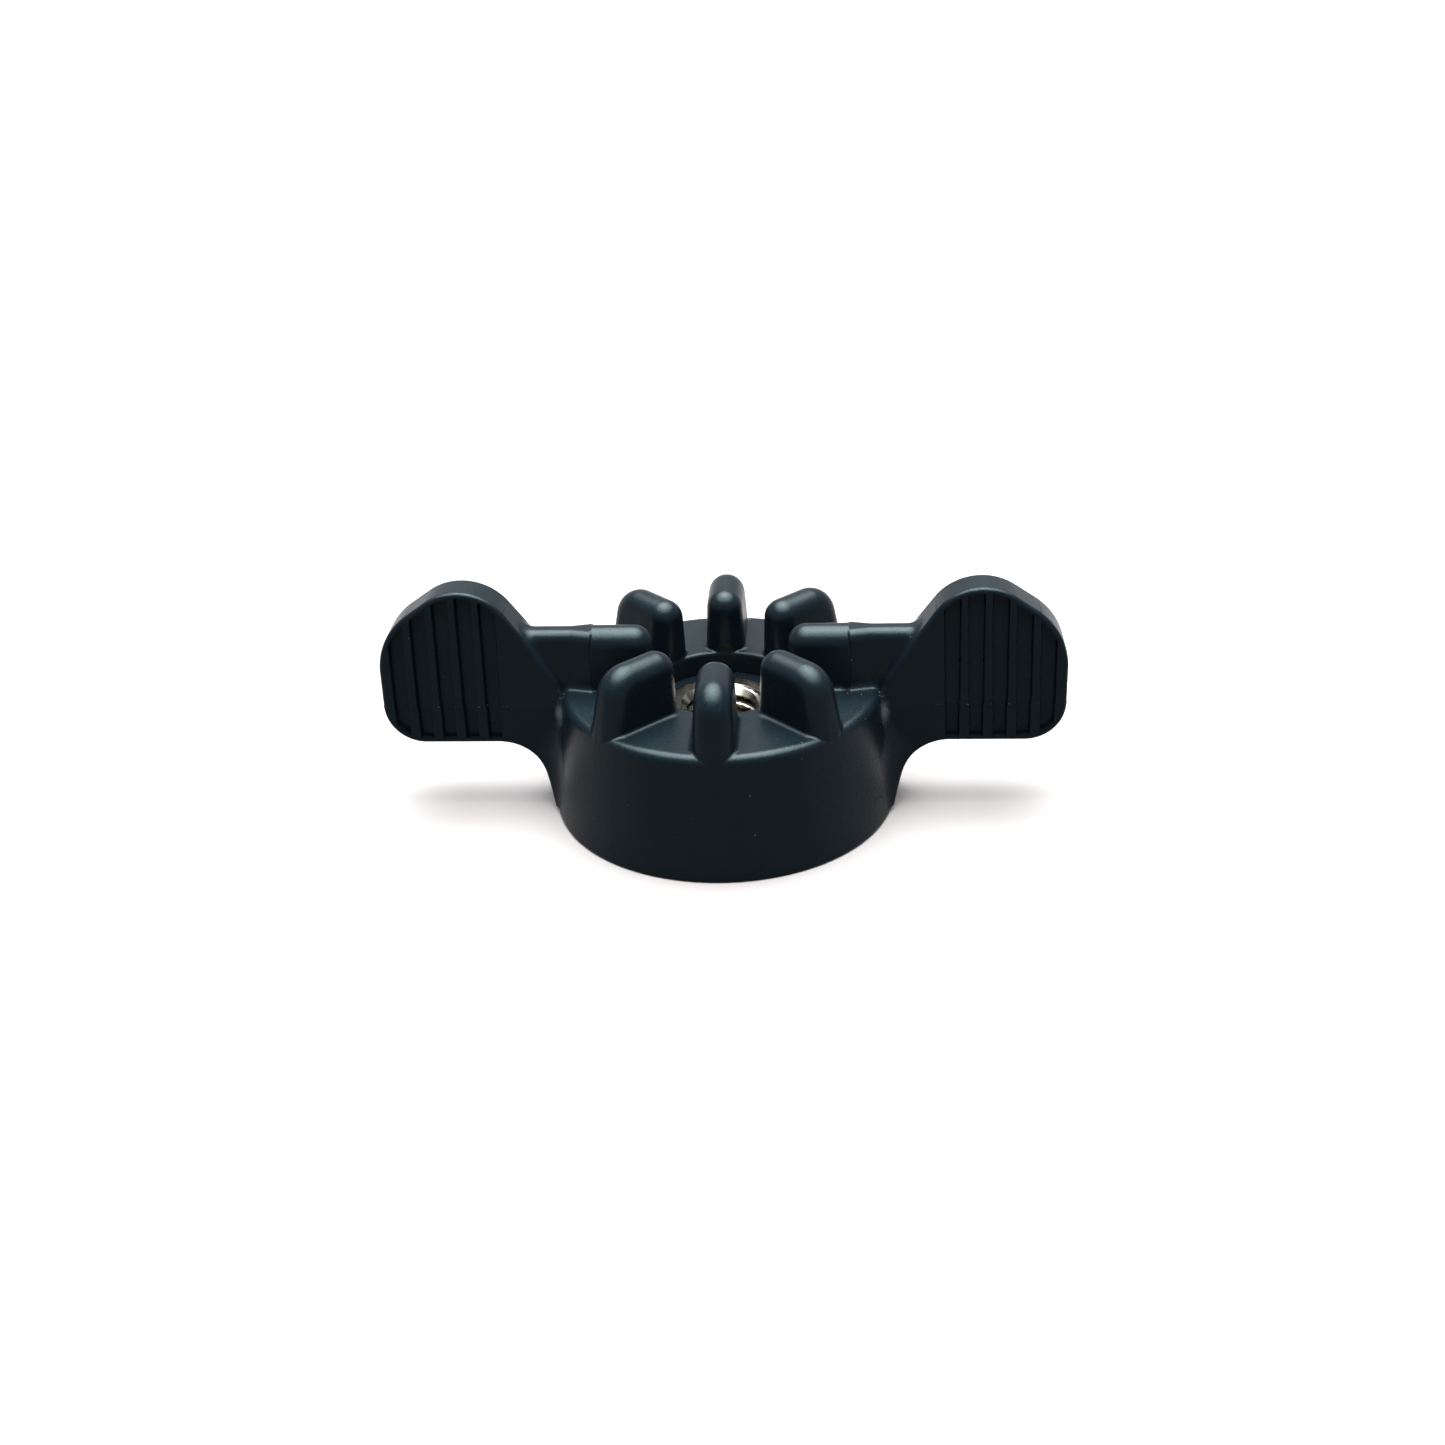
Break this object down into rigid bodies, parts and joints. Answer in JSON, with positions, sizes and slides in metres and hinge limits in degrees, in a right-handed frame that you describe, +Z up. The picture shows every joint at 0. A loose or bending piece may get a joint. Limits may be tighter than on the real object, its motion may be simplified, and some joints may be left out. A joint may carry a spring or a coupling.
{
  "type": "wing nut",
  "caption": "Two-winged hand nut: a moulded plastic body with a ribbed round hub and grooved wings, around a threaded metal insert.",
  "frame": {"origin": "middle of the hub's flat underside, which bears on the clamped part", "axes": "+X along the wings, +Z up the thread's axis, away from the clamped part"},
  "size_m": [0.0668, 0.034, 0.023],
  "materials": {
    "moulded_plastic": "satin as-moulded near-black glass-filled nylon",
    "plated_steel": "bright plated, machined thread"
  },
  "bodies": {
    "root": {"moulded_wing_body": "moulded_plastic", "threaded_insert": "plated_steel"}
  },
  "joints": []
}
